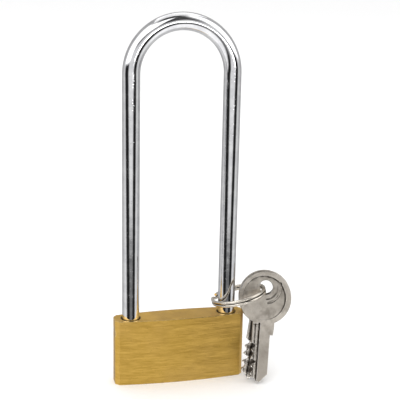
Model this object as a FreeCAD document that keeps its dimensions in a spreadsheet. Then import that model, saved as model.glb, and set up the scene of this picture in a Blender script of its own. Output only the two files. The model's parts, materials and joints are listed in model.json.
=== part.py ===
import FreeCAD, Part
import math
import os
import re
import Sketcher
from FreeCAD import Placement, Rotation, Vector

# Long-shackle solid-body padlock with a split ring and two keys.
# Millimetres. Origin at the centre of the body's base, +Z up, -Y the front face, +X the heel side.

DIMENSIONS = [
    ("body_width", 50.0),
    ("body_height", 25.7),
    ("end_thickness", 7.0),
    ("face_bulge", 1.65),
    ("corner_cut", 1.4),
    ("corner_cube", 4.0),
    ("rod_radius", 3.25),
    ("leg_spacing", 37.4),
    ("arch_height", 118.0),
    ("leg_clearance", 0.15),
    ("lip_size", 0.45),
    ("toe_end", 16.0),
    ("toe_bore_floor", 15.6),
    ("toe_chamfer", 0.7),
    ("shackle_lift", 10.5),
    ("neck_radius", 2.0),
    ("heel_pin_radius", 1.1),
    ("heel_pin_height", 20.5),
    ("heel_pin_front", 3.2),
    ("pin_bore_gap", 0.02),
    ("collar_height", 1.5),
    ("follower_height", 1.5),
    ("follower_stem_radius", 1.3),
    ("follower_stem_length", 2.4),
    ("heel_bore_floor", 1.4),
    ("spring_wire_radius", 0.32),
    ("spring_coil_radius", 2.3),
    ("spring_turns", 4.0),
    ("plug_radius", 3.8),
    ("plug_clearance", 0.07),
    ("plug_face", 0.2),
    ("plug_top", 14.6),
    ("cam_top", 16.8),
    ("cam_radius", 3.5),
    ("crank_radius", 1.7),
    ("crank_pin_radius", 0.85),
    ("crank_pin_top", 20.1),
    ("crank_well_radius", 2.8),
    ("keyway_width", 2.1),
    ("keyway_left", 3.9),
    ("keyway_right", 2.9),
    ("keyway_lip", 0.45),
    ("ward_width", 1.2),
    ("ward_right", 1.8),
    ("plug_pin_radius", 0.8),
    ("plug_pin_height", 10.5),
    ("plug_groove_radius", 3.3),
    ("plug_pin_front", 3.4),
    ("latch_height", 20.6),
    ("latch_radius", 2.2),
    ("latch_clearance", 0.08),
    ("latch_tip", 15.0),
    ("latch_tail", 3.3),
    ("notch_depth", 2.15),
    ("notch_gap", 0.3),
    ("chamber_first", 3.0),
    ("chamber_pitch", 3.0),
    ("chamber_radius", 1.2),
    ("chamber_end", 3.0),
    ("driver_radius", 1.1),
    ("driver_length", 3.6),
    ("driver_spring_end", 17.0),
    ("driver_spring_wire_radius", 0.17),
    ("driver_spring_coil_radius", 0.78),
    ("driver_spring_turns", 9.0),
    ("key_pin_radius", 0.95),
    ("key_pin_reach", 3.6),
    ("seal_recess", 0.05),
    ("ring_radius", 10.2),
    ("ring_wire_radius", 0.57),
    ("ring_pitch", 1.2),
    ("ring_jog_angle", 12.0),
    ("ring_start_angle", 150.0),
    ("ring_centre_offset", 4.8),
    ("ring_centre_y", -0.3),
    ("ring_above_body", 6.2),
    ("ring_tilt", 13.0),
    ("ring_roll", 6.9),
    ("key_thickness", 1.9),
    ("key_yaw", -5.0),
    ("front_key_reach", 15.28),
    ("front_key_y", -1.8),
    ("front_key_rise", 9.03),
    ("front_key_lean", 18.4),
    ("front_key_swing", 6.2),
    ("back_key_reach", 16.24),
    ("back_key_y", 0.68),
    ("back_key_rise", 8.78),
    ("back_key_lean", 15.6),
    ("back_key_swing", 11.8),
    ("bow_radius", 10.2),
    ("bow_drop", 4.0),
    ("key_hole_radius", 2.8),
    ("rim_radius", 8.6),
    ("rim_offset", 0.4),
    ("recess_depth", 0.28),
    ("boss_radius", 3.9),
    ("crest_radius", 6.3),
    ("crest_width", 0.6),
    ("crest_start", 0.6),
    ("shoulder_drop", 18.2),
    ("shoulder_half", 4.15),
    ("blade_left", 4.1),
    ("blade_right", 2.7),
    ("blade_tip_drop", 36.1),
    ("blade_bevel", 2.9),
    ("tip_offset", 0.7),
    ("first_cut", 22.6),
    ("cut_half", 1.35),
    ("cut_flat", 0.3),
    ("step_left", 1.4),
    ("back_step_left", 0.9),
    ("back_groove_at", 0.4),
    ("step_depth", 0.34),
    ("groove_depth", 0.62),
    ("groove_width", 0.75),
]

# Depth of each bitting cut from the blade's left edge, from the bow towards the tip.
BITTING = (1.5, 0.9, 1.9, 1.2)

doc = FreeCAD.newDocument("padlock")
sheet = doc.addObject("Spreadsheet::Sheet", "dims")
for row, (alias, value) in enumerate(DIMENSIONS, start=1):
    sheet.set(f"A{row}", alias)
    sheet.set(f"B{row}", str(value))
    sheet.setAlias(f"B{row}", alias)
doc.recompute()

ALIASES = sorted((name for name, _ in DIMENSIONS), key=len, reverse=True)
ALIAS_PATTERN = re.compile(r"\b(" + "|".join(ALIASES) + r")\b")
TO_X = Rotation(Vector(0, 1, 0), 90)
TO_MINUS_X = Rotation(Vector(0, 1, 0), -90)
TO_Y = Rotation(Vector(1, 0, 0), -90)
UPRIGHT = Rotation()
nodes = []


def size(alias):
    return float(getattr(sheet, alias))


def bind(item, prop, expression):
    """Ties a property to an expression written in the sheet's own words."""
    item.setExpression(prop, ALIAS_PATTERN.sub(r"dims.\1", str(expression)))


def place(item, at, turn=UPRIGHT):
    item.Placement = Placement(Vector(0, 0, 0), turn)
    for axis, expression in zip("xyz", at):
        bind(item, f"Placement.Base.{axis}", expression)
    return item


def cylinder(name, radius, length, at, turn=UPRIGHT):
    item = doc.addObject("Part::Cylinder", name)
    bind(item, "Radius", radius)
    bind(item, "Height", length)
    return place(item, at, turn)


def cone(name, radius_low, radius_high, length, at, turn=UPRIGHT):
    item = doc.addObject("Part::Cone", name)
    bind(item, "Radius1", radius_low)
    bind(item, "Radius2", radius_high)
    bind(item, "Height", length)
    return place(item, at, turn)


def block(name, length, width, height, at, turn=UPRIGHT):
    item = doc.addObject("Part::Box", name)
    bind(item, "Length", length)
    bind(item, "Width", width)
    bind(item, "Height", height)
    return place(item, at, turn)


def fuse(name, items):
    item = doc.addObject("Part::MultiFuse", name)
    item.Shapes = items
    item.Refine = True
    return item


def common(name, items):
    item = doc.addObject("Part::MultiCommon", name)
    item.Shapes = items
    return item


def cut(name, base, tools):
    item = doc.addObject("Part::Cut", name)
    item.Base = base
    item.Tool = tools[0] if len(tools) == 1 else fuse(f"{name}_tools", tools)
    item.Refine = True
    return item


def coil(name, radius, pitch, height, section, start_turn=UPRIGHT):
    """A wire swept along a helix about the local Z axis."""
    spine = doc.addObject("Part::Helix", f"{name}_spine")
    bind(spine, "Radius", radius)
    bind(spine, "Pitch", pitch)
    bind(spine, "Height", height)
    item = doc.addObject("Part::Sweep", name)
    item.Sections = [section]
    item.Spine = (spine, ["Edge1"])
    item.Solid = True
    item.Frenet = True
    item.Placement = Placement(Vector(0, 0, 0), start_turn)
    return item


def round_section(name, radius, coil_radius):
    section = doc.addObject("Part::Circle", f"{name}_section")
    bind(section, "Radius", radius)
    return place(section, (coil_radius, 0, 0), Rotation(Vector(1, 0, 0), 90))


def outline(body, name, corners):
    """A closed straight-sided sketch on the body's XZ plane, every corner tied to the sheet."""
    plane = next(f for f in body.Origin.OriginFeatures if f.Role == "XZ_Plane")
    sketch = body.newObject("Sketcher::SketchObject", name)
    sketch.AttachmentSupport = [(plane, "")]
    sketch.MapMode = "FlatFace"
    values = [(evaluate(x), evaluate(z)) for x, z in corners]
    for index, start in enumerate(values):
        end = values[(index + 1) % len(values)]
        sketch.addGeometry(Part.LineSegment(Vector(*start, 0), Vector(*end, 0)))
    for index in range(len(values)):
        sketch.addConstraint(Sketcher.Constraint("Coincident", index, 2, (index + 1) % len(values), 1))
    for index, corner in enumerate(corners):
        for kind, expression, value in zip(("DistanceX", "DistanceY"), corner, values[index]):
            number = sketch.addConstraint(Sketcher.Constraint(kind, -1, 1, index, 1, value))
            bind(sketch, f"Constraints[{number}]", expression)
    return sketch


def evaluate(expression):
    names = {name: size(name) for name, _ in DIMENSIONS}
    total = ALIAS_PATTERN.sub(lambda match: repr(names[match.group(1)]), str(expression))
    return float(FreeCAD.Units.Quantity(total).Value)


def keep(name, item):
    item.Label = name
    nodes.append(item)
    return item


def leg_x(side):
    return f"{side} * leg_spacing / 2"


# ---------------------------------------------------------------- lock body

def chamber_height(index):
    return f"(chamber_first + {index} * chamber_pitch)"


def body_blank():
    half = "(end_thickness / 2 + face_bulge)"
    arc_radius = "((body_width ^ 2) / 4 + face_bulge ^ 2) / (2 * face_bulge)"
    slab = block("body_slab", "body_width", f"2 * {half}", "body_height",
                 ("-body_width / 2", f"-{half}", 0))
    front = cylinder("front_curve", arc_radius, "body_height", (0, f"{arc_radius} - {half}", 0))
    back = cylinder("back_curve", arc_radius, "body_height", (0, f"{half} - {arc_radius}", 0))
    blank = common("body_blank", [slab, front, back])
    reach = "corner_cube * sqrt(2) / 4 - corner_cut / 2"
    corners = []
    for side_x in (-1, 1):
        for side_y in (-1, 1):
            corners.append(block(
                f"corner_{side_x + 1}{side_y + 1}", "corner_cube", "corner_cube", "body_height + 2",
                (f"{side_x} * (body_width / 2 + {reach})",
                 f"{side_y} * (end_thickness / 2 + {reach}) - corner_cube * sqrt(2) / 2", "-1"),
                Rotation(Vector(0, 0, 1), 45)))
    return cut("body_corners", blank, corners)


def body_bores():
    hole = "(rod_radius + leg_clearance)"
    tools = []
    for name, side, floor in (("toe", -1, "toe_bore_floor"), ("heel", 1, "heel_bore_floor")):
        tools.append(cylinder(f"{name}_bore", hole, f"body_height - {floor} + 1", (leg_x(side), 0, floor)))
        tools.append(cone(f"{name}_lip", hole, f"{hole} + lip_size", "lip_size",
                          (leg_x(side), 0, "body_height - lip_size")))
    tools.append(cylinder("plug_bore", "plug_radius + plug_clearance", "cam_top + 0.2 + 1", (0, 0, -1)))
    tools.append(cylinder("crank_well", "crank_well_radius", "latch_height - cam_top", (0, 0, "cam_top")))
    tools.append(cylinder("latch_bore", "latch_radius + latch_clearance",
                          "body_width / 2 + latch_tail + 0.5 + 1",
                          ("-body_width / 2 - 1", 0, "latch_height"), TO_X))
    for index in range(len(BITTING)):
        tools.append(cylinder(f"chamber_{index + 1}", "chamber_radius", "body_width / 2 - chamber_end + 1",
                              ("-body_width / 2 - 1", 0, chamber_height(index)), TO_X))
    tools.append(cylinder("heel_pin_bore", "heel_pin_radius + pin_bore_gap", "heel_pin_front + 8",
                          (heel_pin_x(), "-heel_pin_front - 0.05", "heel_pin_height"), TO_Y))
    tools.append(cylinder("plug_pin_bore", "plug_pin_radius + pin_bore_gap", "plug_pin_front + 8",
                          (plug_pin_x(), "-plug_pin_front - 0.05", "plug_pin_height"), TO_Y))
    return tools


def heel_pin_x():
    return "leg_spacing / 2 - neck_radius - heel_pin_radius - 0.1"


def plug_pin_x():
    return "plug_groove_radius + plug_pin_radius + 0.1"


def face_half(x):
    """Half the body's thickness at a distance x from its middle."""
    return f"(end_thickness / 2 + face_bulge * (1 - (2 * ({x}) / body_width) ^ 2))"


def lock_body():
    keep("lock_body", cut("lock_body", body_blank(), body_bores()))
    sealed = "body_width / 2 - seal_recess"
    keep("latch_bore_plug", cylinder("latch_bore_plug", "latch_radius + latch_clearance - 0.01",
                                     "body_width / 2 - leg_spacing / 2 - rod_radius - leg_clearance - 0.3",
                                     (f"-({sealed})", 0, "latch_height"), TO_X))
    for index in range(len(BITTING)):
        number = index + 1
        height = chamber_height(index)
        keep(f"chamber_plug_{number}",
             cylinder(f"chamber_plug_{number}", "chamber_radius - 0.01", f"{sealed} - driver_spring_end",
                      (f"-({sealed})", 0, height), TO_X))
        keep(f"driver_pin_{number}", driver_pin(number, height))
        keep(f"driver_spring_{number}", driver_spring(number, height))
    keep("heel_retaining_pin",
         cylinder("heel_retaining_pin", "heel_pin_radius", f"heel_pin_front + {face_half(heel_pin_x())} - 0.1",
                  (heel_pin_x(), "-heel_pin_front", "heel_pin_height"), TO_Y))
    keep("plug_retaining_pin",
         cylinder("plug_retaining_pin", "plug_pin_radius", f"plug_pin_front + {face_half(plug_pin_x())} - 0.1",
                  (plug_pin_x(), "-plug_pin_front", "plug_pin_height"), TO_Y))


def driver_pin(number, height):
    inner = "(plug_radius + plug_clearance + 0.08)"
    shank = cylinder(f"driver_shank_{number}", "driver_radius", "driver_length - 0.5",
                     (f"-{inner}", 0, height), TO_MINUS_X)
    nose = cone(f"driver_nose_{number}", "driver_radius", "driver_spring_coil_radius", "0.5",
                (f"-{inner} - driver_length + 0.5", 0, height), TO_MINUS_X)
    return fuse(f"driver_pin_{number}", [shank, nose])


def driver_spring(number, height):
    start = "(plug_radius + plug_clearance + 0.08 + driver_length)"
    length = f"(driver_spring_end - {start} - 2 * driver_spring_wire_radius - 0.1)"
    name = f"driver_spring_{number}"
    section = round_section(name, "driver_spring_wire_radius", "driver_spring_coil_radius")
    item = coil(name, "driver_spring_coil_radius", f"{length} / driver_spring_turns", length, section)
    return place(item, (f"-{start} - driver_spring_wire_radius - 0.05", 0, height), TO_MINUS_X)


# ---------------------------------------------------------------- shackle

def neck_top():
    return "(heel_pin_height + heel_pin_radius + 0.4)"


def neck_bottom():
    return "(heel_pin_height - heel_pin_radius - shackle_lift - 0.1)"


def heel_end():
    return f"({neck_bottom()} - collar_height)"


def shackle():
    toe = cylinder("toe_leg", "rod_radius", "arch_height - toe_end - toe_chamfer",
                   (leg_x(-1), 0, "toe_end + toe_chamfer"))
    toe_tip = cone("toe_tip", "rod_radius - toe_chamfer", "rod_radius", "toe_chamfer",
                   (leg_x(-1), 0, "toe_end"))
    heel = cylinder("heel_leg", "rod_radius", f"arch_height - {neck_top()}", (leg_x(1), 0, neck_top()))
    neck = cylinder("heel_neck", "neck_radius", f"{neck_top()} - {neck_bottom()}",
                    (leg_x(1), 0, neck_bottom()))
    collar = cylinder("heel_collar", "rod_radius", "collar_height", (leg_x(1), 0, heel_end()))
    arch = doc.addObject("Part::Torus", "arch")
    bind(arch, "Radius1", "leg_spacing / 2")
    bind(arch, "Radius2", "rod_radius")
    arch.Angle3 = 180
    place(arch, (0, 0, "arch_height"), Rotation(Vector(1, 0, 0), 90))
    rod = fuse("shackle_rod", [toe, toe_tip, heel, neck, collar, arch])
    notch = block("latch_notch", "notch_depth + 1", "2 * rod_radius + 2",
                  "2 * (latch_radius + notch_gap)",
                  ("-leg_spacing / 2 + rod_radius - notch_depth", "-rod_radius - 1",
                   "latch_height - latch_radius - notch_gap"))
    keep("shackle", cut("shackle", rod, [notch]))


def shackle_follower():
    top = f"({heel_end()} - 0.05)"
    cap = cylinder("follower_cap", "rod_radius - 0.05", "follower_height",
                   (leg_x(1), 0, f"{top} - follower_height"))
    stem = cylinder("follower_stem", "follower_stem_radius", "follower_stem_length",
                    (leg_x(1), 0, f"{top} - follower_height - follower_stem_length"))
    keep("spring_follower", fuse("spring_follower", [cap, stem]))
    length = f"({top} - follower_height - heel_bore_floor - 2 * spring_wire_radius - 0.1)"
    section = round_section("shackle_spring", "spring_wire_radius", "spring_coil_radius")
    spring = coil("shackle_spring", "spring_coil_radius", f"{length} / spring_turns", length, section)
    keep("shackle_spring", place(spring, (leg_x(1), 0, "heel_bore_floor + spring_wire_radius + 0.05")))


# ---------------------------------------------------------------- lock cylinder

def lock_plug():
    barrel = cylinder("plug_barrel", "plug_radius", "plug_top - plug_face", (0, 0, "plug_face"))
    keyway = block("keyway", "keyway_left + keyway_right", "keyway_width", "plug_top",
                   ("-keyway_left", "-keyway_width / 2", "-0.5"))
    ward = block("keyway_ward", "ward_width", "keyway_lip", "plug_top - plug_face - 1",
                 ("ward_right - ward_width", "-keyway_width / 2 - 0.02", "plug_face"))
    groove_outer = cylinder("groove_outer", "plug_radius + 0.5", "2 * plug_pin_radius + 0.2",
                            (0, 0, "plug_pin_height - plug_pin_radius - 0.1"))
    groove_core = cylinder("groove_core", "plug_groove_radius", "2 * plug_pin_radius + 0.2",
                           (0, 0, "plug_pin_height - plug_pin_radius - 0.1"))
    groove = cut("plug_groove", groove_outer, [groove_core])
    slotted = cut("plug_slotted", barrel, [keyway, groove])
    keep("plug", fuse("plug", [slotted, ward]))
    disc = cylinder("cam_disc", "cam_radius", "cam_top - plug_top - 0.01", (0, 0, "plug_top + 0.01"))
    crank = cylinder("crank_pin", "crank_pin_radius", "crank_pin_top - plug_top - 0.5",
                     ("crank_radius * sqrt(0.5)", "crank_radius * sqrt(0.5)", "plug_top + 0.5"))
    keep("cam", fuse("cam", [disc, crank]))
    for index, rise in enumerate(BITTING):
        number = index + 1
        length = f"(key_pin_reach - 1.9 + {rise} * 0.5)"
        shank = cylinder(f"key_pin_shank_{number}", "key_pin_radius", f"{length} - 0.6",
                         ("-key_pin_reach", 0, chamber_height(index)), TO_X)
        point = cone(f"key_pin_point_{number}", "key_pin_radius", "0.3", "0.6",
                     (f"-key_pin_reach + {length} - 0.6", 0, chamber_height(index)), TO_X)
        keep(f"key_pin_{number}", fuse(f"key_pin_{number}", [shank, point]))


def latch_bolt():
    bolt = cylinder("latch_rod", "latch_radius", "latch_tip + latch_tail - 0.4",
                    ("-latch_tip + 0.4", 0, "latch_height"), TO_X)
    tip = cone("latch_nose", "latch_radius - 0.4", "latch_radius", "0.4",
               ("-latch_tip", 0, "latch_height"), TO_X)
    rod = fuse("latch_blank", [bolt, tip])
    slot = block("crank_slot", "2 * crank_pin_radius + 0.24", "2 * latch_radius + 2", "latch_radius + 0.05",
                 ("crank_radius * sqrt(0.5) - crank_pin_radius - 0.12", "-latch_radius - 1",
                  "latch_height - latch_radius - 0.3"))
    keep("latch_bolt", cut("latch_bolt", rod, [slot]))


# ---------------------------------------------------------------- ring and keys

def ring_turn_of_wire(name, height):
    """One nearly full turn of the split ring's wire, open where the wire changes level."""
    item = doc.addObject("Part::Torus", name)
    bind(item, "Radius1", "ring_radius")
    bind(item, "Radius2", "ring_wire_radius")
    bind(item, "Angle3", "360 - 2 * ring_jog_angle")
    return place(item, (0, 0, height), Rotation(Vector(0, 0, 1), size("ring_jog_angle")))


def key_ring():
    across = "ring_radius * sin(ring_jog_angle * 1deg)"
    along = "ring_radius * cos(ring_jog_angle * 1deg)"
    lower = ring_turn_of_wire("ring_lower_turn", "-ring_pitch / 2")
    upper = ring_turn_of_wire("ring_upper_turn", "ring_pitch / 2")
    half_angle = math.radians(size("ring_jog_angle"))
    climb = math.degrees(math.atan2(2 * size("ring_radius") * math.sin(half_angle), size("ring_pitch")))
    jog = cylinder("ring_jog", "ring_wire_radius", f"2 * sqrt(({across}) ^ 2 + ring_pitch ^ 2 / 4)",
                   (along, f"-{across}", "-ring_pitch / 2"), Rotation(Vector(1, 0, 0), -climb))
    knees = []
    for side in (-1, 1):
        knee = doc.addObject("Part::Sphere", f"ring_knee_{side + 1}")
        bind(knee, "Radius", "ring_wire_radius")
        knees.append(place(knee, (along, f"{side} * {across}", f"{side} * ring_pitch / 2")))
    ring = fuse("key_ring", [lower, upper, jog] + knees)
    turn = Rotation(Vector(0, 1, 0), -size("ring_tilt"))
    turn = turn.multiply(Rotation(Vector(1, 0, 0), -size("ring_roll")))
    turn = turn.multiply(Rotation(Vector(0, 0, 1), size("ring_start_angle")))
    place(ring, ("leg_spacing / 2 + ring_centre_offset", "ring_centre_y", "body_height + ring_above_body"))
    ring.Placement = Placement(ring.Placement.Base, turn)
    keep("key_ring", ring)


def blade_corners():
    """Key outline below the bow, from the left of the neck round the bitting and the tip."""
    corners = [("-shoulder_half", "-bow_drop - 4"), ("-shoulder_half", "-shoulder_drop + 1.6"),
               ("-blade_left", "-shoulder_drop")]
    for index, rise in enumerate(BITTING):
        centre = f"first_cut + {index} * chamber_pitch"
        for offset, left in (("-cut_half", "0"), ("-cut_flat", rise), ("cut_flat", rise), ("cut_half", "0")):
            corners.append((f"-blade_left + {left}", f"-({centre} + {offset})"))
    corners += [("-blade_left", "-blade_tip_drop + blade_bevel"),
                ("-tip_offset - 0.5", "-blade_tip_drop"),
                ("-tip_offset + 0.5", "-blade_tip_drop"),
                ("blade_right", "-blade_tip_drop + blade_bevel"),
                ("blade_right", "-shoulder_drop"),
                ("shoulder_half - 0.3", "-shoulder_drop"),
                ("shoulder_half", "-shoulder_drop + 2.6"),
                ("shoulder_half", "-bow_drop - 4")]
    return corners


def face_tools(name, side):
    """Recess, embossed crest and blade milling on one face of a key."""
    face = "key_thickness / 2"
    near = f"{face} - recess_depth" if side > 0 else f"-{face} - 1"
    deep = "recess_depth + 1"
    dish = cylinder(f"{name}_dish", "rim_radius", deep, ("-rim_offset", near, "-bow_drop"), TO_Y)
    boss = cylinder(f"{name}_boss", "boss_radius", deep, (0, near, 0), TO_Y)
    crest_out = cylinder(f"{name}_crest_out", "crest_radius", deep, (0, near, 0), TO_Y)
    crest_in = cylinder(f"{name}_crest_in", "crest_radius - crest_width", deep, (0, near, 0), TO_Y)
    window = block(f"{name}_crest_window", "crest_radius + 1", deep, "crest_radius + 1",
                   ("crest_start", near, "-crest_radius - 1"))
    crest = cut(f"{name}_crest", common(f"{name}_crest_arc", [crest_out, window]), [crest_in])
    recess = cut(f"{name}_recess", dish, [boss, crest])
    step_low = f"{face} - step_depth" if side > 0 else f"-{face} - 1"
    step_edge = "back_step_left" if side > 0 else "step_left"
    step = block(f"{name}_step", "blade_left + 2", "step_depth + 1", "blade_tip_drop - shoulder_drop + 5",
                 (f"-{step_edge} - blade_left - 2", step_low, "-blade_tip_drop - 1"))
    groove_low = f"{face} - groove_depth" if side > 0 else f"-{face} - 1"
    groove_at = "back_groove_at" if side > 0 else "-step_left - groove_width"
    groove = block(f"{name}_groove", "groove_width", "groove_depth + 1",
                   "blade_tip_drop - shoulder_drop + 5.6", (groove_at, groove_low, "-blade_tip_drop - 1"))
    return [recess, step, groove]


def key(name):
    body = doc.addObject("PartDesign::Body", f"{name}_plate")
    sketch = outline(body, f"{name}_outline", blade_corners())
    plate = body.newObject("PartDesign::Pad", f"{name}_pad")
    plate.Profile = sketch
    bind(plate, "Length", "key_thickness")
    plate.Midplane = True
    half = "key_thickness / 2"
    bow = cylinder(f"{name}_bow", "bow_radius", "key_thickness", (0, f"-{half}", "-bow_drop"), TO_Y)
    blank = fuse(f"{name}_blank", [body, bow])
    hole = cylinder(f"{name}_hole", "key_hole_radius", "key_thickness + 2", (0, f"-{half} - 1", 0), TO_Y)
    tools = [hole] + face_tools(f"{name}_front", -1) + face_tools(f"{name}_back", 1)
    return keep(name, cut(name, blank, tools))


def hang(name):
    """Hangs a key by its hole: yaw about Z, leaning forward, then swung within its own plane."""
    item = key(name)
    turn = Rotation(Vector(0, 0, 1), size("key_yaw"))
    turn = turn.multiply(Rotation(Vector(1, 0, 0), -size(f"{name}_lean")))
    turn = turn.multiply(Rotation(Vector(0, 1, 0), size(f"{name}_swing")))
    place(item, (f"leg_spacing / 2 + {name}_reach", f"{name}_y", f"body_height + {name}_rise"))
    item.Placement = Placement(item.Placement.Base, turn)


# ---------------------------------------------------------------- build and write

lock_body()
shackle()
shackle_follower()
lock_plug()
latch_bolt()
key_ring()
hang("front_key")
hang("back_key")
doc.recompute()

for item in doc.Objects:
    if "Invalid" in item.State or "Error" in item.State:
        raise RuntimeError(f"{item.Name} did not build: {item.State}")
os.makedirs("parts", exist_ok=True)
for item in nodes:
    shape = item.Shape
    if shape.isNull() or not shape.isValid() or len(shape.Solids) != 1:
        raise RuntimeError(f"{item.Label} is not one sound solid ({len(shape.Solids)})")
    shape.exportStep(f"parts/{item.Label}.step")
    print(f"{item.Label:22s} {shape.Volume:10.3f} mm3  {shape.BoundBox}")
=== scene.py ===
import json
import math

import bmesh
import bpy
from mathutils import Matrix, Vector


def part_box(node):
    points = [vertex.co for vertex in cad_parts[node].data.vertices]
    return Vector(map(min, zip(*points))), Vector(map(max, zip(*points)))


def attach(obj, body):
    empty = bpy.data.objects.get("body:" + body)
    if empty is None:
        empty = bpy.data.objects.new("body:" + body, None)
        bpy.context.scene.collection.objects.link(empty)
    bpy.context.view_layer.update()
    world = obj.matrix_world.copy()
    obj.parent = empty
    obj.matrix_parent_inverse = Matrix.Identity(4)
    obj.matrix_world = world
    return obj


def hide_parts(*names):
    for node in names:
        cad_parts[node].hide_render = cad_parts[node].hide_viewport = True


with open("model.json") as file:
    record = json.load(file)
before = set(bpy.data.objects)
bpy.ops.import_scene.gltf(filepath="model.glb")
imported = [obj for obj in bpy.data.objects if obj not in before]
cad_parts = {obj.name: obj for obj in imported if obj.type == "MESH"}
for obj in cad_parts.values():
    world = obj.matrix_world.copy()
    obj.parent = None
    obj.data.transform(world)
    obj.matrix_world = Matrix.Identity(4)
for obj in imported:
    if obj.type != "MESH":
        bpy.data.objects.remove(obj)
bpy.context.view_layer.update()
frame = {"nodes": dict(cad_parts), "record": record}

# Long-shackle brass padlock with a split ring and two keys.
# Pieces are drawn in millimetres in the part's own frame and brought to metres when they are settled.

MM = 0.001


def top_corner(node):
    """Highest corner of a CAD node's box, in millimetres."""
    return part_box(node)[1] / MM


# ---------------------------------------------------------------- sizes

BODY_HIGH = top_corner("lock_body")
HALF_WIDTH = BODY_HIGH.x
BODY_TOP = BODY_HIGH.z
HALF_THICK = BODY_HIGH.y
END_HALF = 3.5
CORNER_CUT = 1.4
ROD = 3.25
LEG_X = 18.7
LEG_BORE = 3.4
LIP = 0.45
TOE_BORE_FLOOR, HEEL_BORE_FLOOR = 15.6, 1.4
PLUG_BORE, PLUG_BORE_TOP = 3.87, 17.0
CRANK_WELL, CRANK_WELL_FLOOR = 2.8, 16.5
LATCH_HEIGHT, LATCH_BORE, LATCH_BORE_END = 20.6, 2.28, 3.8
HEEL_PIN_BORE, HEEL_PIN_FRONT, HEEL_PIN_PLACE = 1.12, -3.25, (15.5, 0, 20.5)
PLUG_PIN_BORE, PLUG_PIN_FRONT, PLUG_PIN_PLACE = 0.82, -3.45, (4.2, 0, 10.5)
CHAMBER_BORE, CHAMBER_END, CHAMBER_FIRST, CHAMBER_PITCH = 1.2, -3.0, 3.0, 3.0
NOTCH_LOW, NOTCH_HIGH, NOTCH_DEPTH = 18.1, 23.1, 2.15
THROUGH = 1.0

TOE_END = 16.0
ARCH_Z = 118.0
HEEL_END = 7.3
NECK_LOW, NECK_HIGH, NECK_RADIUS = 8.8, 22.0, 2.0

RING_RADIUS = 10.2
RING_WIRE = 0.57
RING_PITCH = 1.2
RING_JOG = 12.0
RING_START = 150.0
RING_CENTRE = Vector((23.5, -0.3, 31.9))
RING_TILT, RING_ROLL = 13.0, 6.9

SPRING_TURNS, SPRING_START, SPRING_LENGTH = 9, 7.77, 9.01
SPRING_COIL, SPRING_WIRE = 0.78, 0.17

PLATE_HALF = 0.95
HOLLOW_RADIUS, HOLLOW_DEPTH = 8.5, 0.30
HOLLOW_SLANT = math.radians(2.1)
BOW_RADIUS = 10.2
BOW_DROP = 4.0
KEY_HOLE = 2.8
CREST_DEPTH = 0.62
# Each arc: outer radius, inner radius, and the left, low, right and high sides of the window it shows in.
CREST_ARCS = ((6.35, 5.6, (0.9, -8.0, 8.0, 2.4)), (4.75, 4.3, (0.2, -8.0, 8.0, 1.0)))
# Each cut: left side, right side, depth (below zero on the front face) and how far it runs up past the step.
BLADE_CUTS = {
    "front_land": (-6.0, -1.4, -0.34, 0.0),
    "front_groove": (-2.15, -1.4, -0.62, 0.6),
    "front_slot": (-3.5, -2.85, -0.62, 0.2),
    "back_land": (-6.0, -0.9, 0.34, 0.0),
    "back_groove": (0.4, 1.15, 0.62, 0.6),
}
CLEAR = 3.0
SHOULDER_HALF = 4.15
SHOULDER_DROP = 18.2
BLADE_LEFT, BLADE_RIGHT = 4.1, 2.7
TIP_DROP = 36.1
BITTING = (1.5, 0.9, 1.9, 1.2)
FIRST_CUT, CUT_PITCH = 22.6, 3.0
KEY_POSES = {
    "front_key": ((33.98, -1.8, 34.73), -5.0, 18.4, 6.2),
    "back_key": ((34.94, 0.68, 34.48), -5.0, 15.6, 11.8),
}

CAMERA_TURN = (-14.417, 15.257, 1.171)
CAMERA_TARGET = Vector((0.007428, 0, 0.07061))
CAMERA_DISTANCE = 0.378623
CAMERA_LENS = 91.386


# ---------------------------------------------------------------- mesh helpers

def piece_from(name, bm):
    """A new object in the scene from a bmesh, with its faces turned outward."""
    mesh = bpy.data.meshes.new(name)
    bmesh.ops.recalc_face_normals(bm, faces=bm.faces)
    bm.to_mesh(mesh)
    bm.free()
    obj = bpy.data.objects.new(name, mesh)
    bpy.context.scene.collection.objects.link(obj)
    return obj


def rings_to_piece(name, rings):
    """Skins a list of equal rings of points and caps both ends."""
    bm = bmesh.new()
    rows = [[bm.verts.new(point) for point in ring] for ring in rings]
    count = len(rows[0])
    for low, high in zip(rows, rows[1:]):
        for i in range(count):
            j = (i + 1) % count
            bm.faces.new((low[i], low[j], high[j], high[i]))
    bm.faces.new(list(reversed(rows[0])))
    bm.faces.new(rows[-1])
    return piece_from(name, bm)


def circle(centre, across, along, radius, count):
    """Points of a circle in the plane of two unit directions."""
    step = math.tau / count
    return [centre + across * radius * math.cos(i * step) + along * radius * math.sin(i * step)
            for i in range(count)]


def turned(name, profile, origin=(0, 0, 0), axis="Z", count=96):
    """A turned piece: profile is (radius, height) pairs along the axis from origin."""
    frames = {
        "Z": (Vector((1, 0, 0)), Vector((0, 1, 0)), Vector((0, 0, 1))),
        "X": (Vector((0, 1, 0)), Vector((0, 0, 1)), Vector((1, 0, 0))),
        "Y": (Vector((0, 0, 1)), Vector((1, 0, 0)), Vector((0, 1, 0))),
    }
    across, along, up = frames[axis]
    start = Vector(origin)
    return rings_to_piece(name, [circle(start + up * height, across, along, radius, count)
                                 for radius, height in profile])


def plate(name, outline, low, high):
    """A flat plate with its outline in X and Z, and its thickness from low to high along Y."""
    return rings_to_piece(name, [[Vector((x, y, z)) for x, z in outline] for y in (low, high)])


def slab(name, low, high):
    """A block between two corners."""
    outline = [(low[0], low[2]), (high[0], low[2]), (high[0], high[2]), (low[0], high[2])]
    return plate(name, outline, low[1], high[1])


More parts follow.
